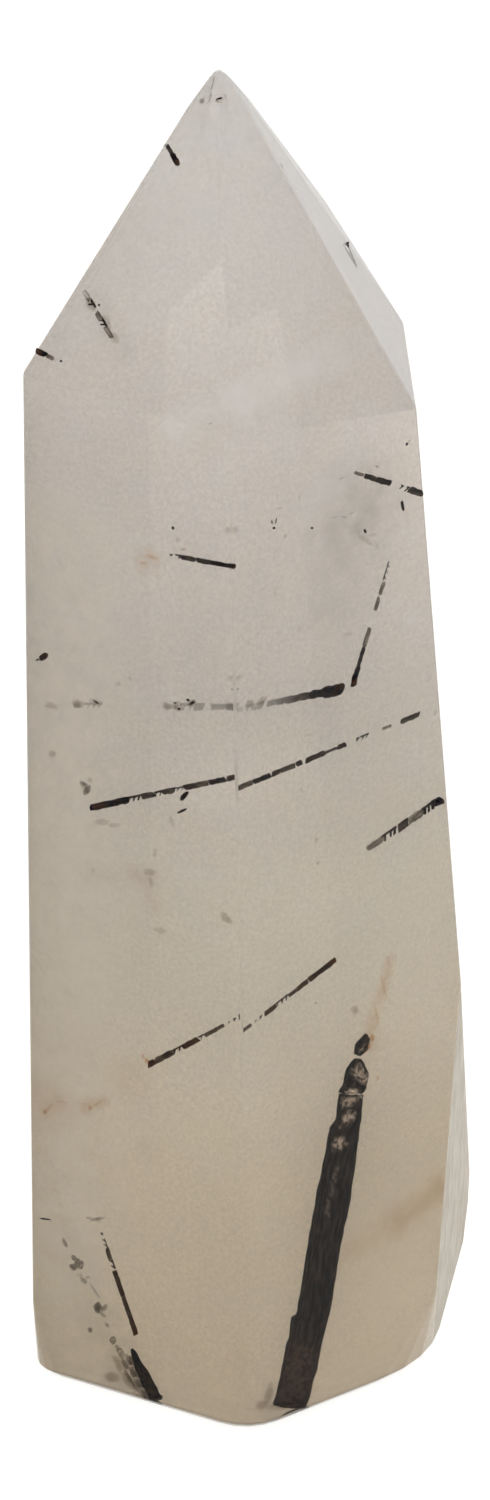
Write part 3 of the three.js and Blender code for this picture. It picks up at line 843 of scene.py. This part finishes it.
def new_finish(name, look=None):
    """Return a new material with its node tree and its main shader, set to its plain values."""
    finish = bpy.data.materials.new(name)
    finish.use_nodes = True
    shader = finish.node_tree.nodes["Principled BSDF"]
    for socket, value in (look or {}).items():
        shader.inputs[socket].default_value = value
    return finish, finish.node_tree, shader


def place_in_mm(tree):
    """Return the place on the object in mm."""
    spot = add_node(tree, "ShaderNodeTexCoord").outputs["Object"]
    return vector_maths(tree, "SCALE", {3: 1 / MM}, {0: spot})


def distance_to_streak(tree, place, start, end):
    """Return the distance from a straight streak between two points, in mm."""
    way = end - start
    from_start = vector_maths(tree, "SUBTRACT", {1: start}, {0: place})
    reach = vector_maths(tree, "DOT_PRODUCT", {1: way / way.length_squared}, {0: from_start})
    share = maths(tree, "MULTIPLY", {1: 1.0}, {0: reach}, use_clamp=True)
    nearest = vector_maths(tree, "SCALE", {0: way}, {3: share})
    away = vector_maths(tree, "SUBTRACT", wires={0: from_start, 1: nearest})
    return vector_maths(tree, "LENGTH", wires={0: away})


def wavering(tree, place, amount, scale):
    """Return the place pushed about by noise, so that a stain's edge isn't even."""
    push = add_node(tree, "ShaderNodeTexNoise", {"Scale": scale, "Detail": WAVER_DETAIL}, {"Vector": place})
    centred = vector_maths(tree, "SUBTRACT", {1: NOISE_MIDDLE}, {0: push.outputs["Color"]})
    return vector_maths(tree, "MULTIPLY_ADD", {1: (amount, amount, amount)}, {0: centred, 2: place})


def stain_over(tree, colour, away, reach, strength, stain, patchy):
    """Lay a stain over a colour, patchy, strongest at its middle and gone at its reach, in mm."""
    share = span(tree, away, 0, reach, strength, 0, smooth=True)
    return blend_colours(tree, times(tree, share, patchy), colour, stain)


def stained(tree, colour, place, camera, skin):
    """Lay the crystal's rust, smoke and cream over its own colour."""
    near = wavering(tree, place, *STAIN_WAVER)
    patchy = span(tree, cloud(tree, place, **STAIN_CLOUD), *STAIN_SPAN, *STAIN_STRENGTH)
    for start, end, reach, strength, stain in STREAKS:
        ends = [under_skin(camera, skin, pixel) for pixel in (start, end)]
        away = distance_to_streak(tree, near, *ends)
        colour = stain_over(tree, colour, away, reach, strength, stain, patchy)
    for pixel, reach, strength, stain in SPOTS:
        away = vector_maths(tree, "DISTANCE", {1: under_skin(camera, skin, pixel)}, {0: near})
        colour = stain_over(tree, colour, away, reach, strength, stain, patchy)
    return colour


def facet_share(tree, normal):
    """Return 1 on the flat facet that faces the given way and 0 elsewhere."""
    facing = add_node(tree, "ShaderNodeNewGeometry").outputs["Normal"]
    return span(tree, vector_maths(tree, "DOT_PRODUCT", {1: normal}, {0: facing}), *FACET_SPAN)


def milk(tree, place, sides):
    """Return the milk's density: least under the front and by the long needle, most in the heart."""
    clear_line = [end + FRONT * CLEAR_IN_FRONT for end in axis_of("long_needle", LEFT)]
    away = distance_to_streak(tree, place, *clear_line)
    depth = maths(tree, "ADD", {1: CLEAR_SKIN - CLEAR_REACH}, {0: away})
    for normal, reach in sides:
        outwards = vector_maths(tree, "DOT_PRODUCT", {1: normal}, {0: place})
        under_side = maths(tree, "SUBTRACT", {0: reach}, {1: outwards})
        depth = maths(tree, "MINIMUM", wires={0: depth, 1: under_side})
    return span(tree, depth, CLEAR_SKIN, CLEAR_SKIN + MILK_RAMP, SKIN_MILK, HEART_MILK, smooth=True)


def mottled(tree, colour, place):
    """Let the quartz's colour wander: lighter and darker, cooler and warmer."""
    for shape, how_far in TONES:
        tone = span(tree, cloud(tree, place, **shape), *NOISE_SPAN, 1 - how_far, 1 + how_far)
        colour = blend_colours(tree, 1.0, colour, tone, "MULTIPLY")
    warmth = span(tree, cloud(tree, place, **TINT_CLOUD), *TINT_SPAN)
    return blend_colours(tree, 1.0, colour, blend_colours(tree, warmth, COOL_TINT, WARM_TINT), "MULTIPLY")


def wispy(tree, colour, place, height):
    """Lay pale wisps over the upper part."""
    wisps = cloud(tree, place, **WISP_CLOUD)
    share = span(tree, wisps, *WISP_SPAN, 0, WISP_STRENGTH, smooth=True)
    return blend_colours(tree, times(tree, share, span(tree, height, *WISP_HEIGHTS)), colour, VEIL)


def ground_heel(tree, colour, place, heel):
    """Give the heel the scratched, dull colour of a ground face."""
    scratches = cloud(tree, place, **HEEL_CLOUD)
    return blend_colours(
        tree, times(tree, heel, HEEL_COVER), colour, colour_steps(tree, scratches, HEEL_COLOURS),
    )


def quartz_roughness(tree, place, height, heel):
    """Return the quartz's roughness: polished, duller on its worn upright edges and on the heel."""
    polish = span(tree, cloud(tree, place, **POLISH_CLOUD), *NOISE_SPAN, *POLISH_ROUGHNESS)
    edge = times(tree, marked(tree, "worn_edge"), span(tree, height, WORN_FROM, WORN_WHOLLY_FROM))
    softened = maths(tree, "MULTIPLY_ADD", {1: EDGE_ROUGHNESS}, {0: edge, 2: polish})
    return maths(tree, "MULTIPLY_ADD", {1: HEEL_ROUGHNESS}, {0: heel, 2: softened})


def quartz_body(tree, place, sides):
    """Fill the quartz with its milk and with what it takes out of the light."""
    density = milk(tree, place, sides)
    scatter = add_node(tree, "ShaderNodeVolumeScatter", {"Color": WHITE}, {"Density": density})
    absorb = add_node(tree, "ShaderNodeVolumeAbsorption", QUARTZ_ABSORPTION)
    both = add_node(tree, "ShaderNodeAddShader", wires={0: scatter.outputs[0], 1: absorb.outputs[0]})
    tree.links.new(both.outputs[0], tree.nodes["Material Output"].inputs["Volume"])


def quartz_finish(camera, skin, sides):
    """Milky quartz: clear inside, polished, warmer to the foot, stained and finely mottled, with painted
    shade on one narrow tip facet and on the small faces round the foot.
    """
    finish, tree, shader = new_finish("milky_quartz", QUARTZ_LOOK)
    place = place_in_mm(tree)
    height = add_node(tree, "ShaderNodeSeparateXYZ", wires={0: place}).outputs[2]
    heel = facet_share(tree, HEEL_NORMAL)
    strip_normal = skin.ray_cast(camera.location / MM, sight_line(camera, STRIP_PIXEL))[1]
    colour = colour_steps(tree, span(tree, height, 0, CRYSTAL_HEIGHT), CRYSTAL_BY_HEIGHT)
    colour = mottled(tree, colour, place)
    colour = wispy(tree, colour, place, height)
    colour = stained(tree, colour, place, camera, skin)
    # Painted shade: the narrow facet beside the tip's front facets is darkened in its colour
    colour = blend_colours(tree, facet_share(tree, strip_normal), colour, STRIP_PAINTED_SHADE, "MULTIPLY")
    colour = ground_heel(tree, colour, place, heel)
    # Painted shade on the small faces round the foot, where the crystal meets the floor
    colour = blend_colours(tree, times(tree, marked(tree, "painted_foot_shade"), FOOT_SHADE_STRENGTH), colour, FOOT_PAINTED_SHADE)
    tree.links.new(colour, shader.inputs["Base Color"])
    tree.links.new(span(tree, heel, 0, 1, 1.0, HEEL_TRANSMISSION), shader.inputs["Transmission Weight"])
    tree.links.new(quartz_roughness(tree, place, height, heel), shader.inputs["Roughness"])
    quartz_body(tree, place, sides)
    return finish


def tourmaline_finish(name, patches=()):
    """Black tourmaline: near black with a purple cast, brown in places, streaked, with soft pale patches."""
    finish, tree, shader = new_finish(name, TOURMALINE_LOOK)
    grain = add_node(tree, "ShaderNodeAttribute", attribute_name="grain").outputs["Vector"]
    streaks = cloud(tree, grain, **STREAK_CLOUD)
    colour = colour_steps(tree, streaks, TOURMALINE_BY_STREAK)
    brownness = BROWNNESS[name]
    blotches_from = BLOTCHES_WHOLE - BLOTCHES_SPREAD * brownness
    brown = span(tree, cloud(tree, grain, **BLOTCH_CLOUD), blotches_from, BLOTCHES_WHOLE, 0, brownness)
    colour = blend_colours(tree, brown, colour, BROWN)
    cracked = times(tree, marked(tree, "pallor"), span(tree, streaks, *CRACKED_SPAN, *CRACKED_STRENGTH))
    colour = blend_colours(tree, cracked, colour, CRACKED)
    if patches:
        near = wavering(tree, place_in_mm(tree), *PATCH_WAVER)
        patchy = span(tree, cloud(tree, grain, **PATCH_CLOUD), *PATCH_SPAN, *PATCH_STRENGTH)
        for start, end, reach, strength, stain in patches:
            away = distance_to_streak(tree, near, start, end)
            colour = stain_over(tree, colour, away, reach, strength, stain, patchy)
    tree.links.new(colour, shader.inputs["Base Color"])
    tree.links.new(span(tree, streaks, *NOISE_SPAN, *TOURMALINE_ROUGHNESS), shader.inputs["Roughness"])
    bump = add_node(tree, "ShaderNodeBump", STREAK_BUMP, {"Height": streaks})
    tree.links.new(bump.outputs[0], shader.inputs["Normal"])
    return finish


def haze_finish(name, body):
    """A soft haze inside the quartz: no surface of its own, only a tinted body."""
    finish, tree, _ = new_finish(name, HAZE_LOOK)
    absorb = add_node(tree, "ShaderNodeVolumeAbsorption", body)
    tree.links.new(absorb.outputs[0], tree.nodes["Material Output"].inputs["Volume"])
    return finish


def flake_finish(name, steps):
    """Pale flakes: small cracks that catch the light, from one colour to another."""
    finish, tree, shader = new_finish(name)
    tone = cloud(tree, place_in_mm(tree), **FLAKE_CLOUD)
    colour = colour_steps(tree, tone, steps)
    tree.links.new(colour, shader.inputs["Base Color"])
    tree.links.new(span(tree, tone, *NOISE_SPAN, *FLAKE_ROUGHNESS), shader.inputs["Roughness"])
    return finish


def floor_finish():
    """A plain pale floor, lit evenly like a light table."""
    finish = new_finish("pale_floor", FLOOR_LOOK)[0]
    finish.cycles.emission_sampling = "NONE"
    return finish


def pale_floor():
    """Lay the floor just under the crystal's foot."""
    bm = bmesh.new()
    bmesh.ops.create_grid(bm, x_segments=1, y_segments=1, size=FLOOR_SIZE / 2 * MM)
    bmesh.ops.translate(bm, vec=(0, 0, -FLOOR_DROP * MM), verts=bm.verts)
    mesh = bpy.data.meshes.new("pale_floor")
    bm.to_mesh(mesh)
    bm.free()
    mesh.materials.append(floor_finish())
    floor = bpy.data.objects.new("pale_floor", mesh)
    bpy.context.scene.collection.objects.link(floor)


def studio_light():
    """Light the crystal evenly from all round, as in a light tent."""
    scene = bpy.context.scene
    world = bpy.data.worlds.new("light_tent")
    world.use_nodes = True
    tent = world.node_tree.nodes["Background"]
    tent.inputs["Color"].default_value = WHITE
    tent.inputs["Strength"].default_value = TENT_LIGHT
    world.cycles.sampling_method = "NONE"
    scene.world = world
    scene.view_settings.view_transform = "Standard"
    scene.cycles.max_bounces = MOST_BOUNCES
    scene.cycles.glossy_bounces = GLOSSY_BOUNCES
    scene.cycles.transmission_bounces = CLEAR_BOUNCES
    scene.cycles.volume_bounces = MILK_BOUNCES
    scene.cycles.diffuse_bounces = DIFFUSE_BOUNCES
    scene.cycles.volume_step_rate = MILK_STEP_RATE


def needles_and_rods(black, camera, skin):
    """Make the thin needles, black or brown, and the cracked thick rods."""
    brown = tourmaline_finish("brown_tourmaline")
    for node in NEEDLES:
        needle(node, brown if node in BROWN_NEEDLES else black)
    patches = [
        (*(under_skin(camera, skin, pixel, ROD_FRONT_DEPTH) for pixel in patch[:2]), *patch[2:])
        for patch in ROD_PATCHES
    ]
    cracked = tourmaline_finish("cracked_tourmaline", patches)
    for name in RODS:
        thick_rod(name, cracked, camera, skin)


def loose_bits(black, camera, skin):
    """Make the grains, hazes, flakes and pale cracks, each kind as one piece."""
    for name, table, finish, slot in (
        ("dark_grains", DARK_GRAINS, black, "tourmaline"),
        ("smoky_trail", SMOKY_TRAIL, haze_finish("smoky_haze", SMOKY_HAZE), "tourmaline"),
        ("grey_smudges", GREY_SMUDGES, haze_finish("grey_haze", GREY_HAZE), "tourmaline"),
        ("rusty_hazes", RUSTY_HAZES, haze_finish("rusty_haze", RUSTY_HAZE), "quartz"),
        ("pale_flakes", PALE_FLAKES, flake_finish("white_crack", WHITE_FLAKES), "quartz"),
        ("rod_cracks", ROD_CRACKS, flake_finish("greyish_crack", GREYISH_FLAKES), "tourmaline"),
    ):
        grains(name, table, finish, slot, camera, skin)


def main():
    """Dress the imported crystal, light it and set the camera before it."""
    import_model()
    camera = set_camera()
    pale_floor()
    studio_light()
    form, sides = clear_form()
    skin = BVHTree.FromBMesh(form)
    piece_from(form, "clear_point", quartz_finish(camera, skin, sides), "quartz", "quartz_point")
    black = tourmaline_finish("black_tourmaline")
    needles_and_rods(black, camera, skin)
    loose_bits(black, camera, skin)


main()
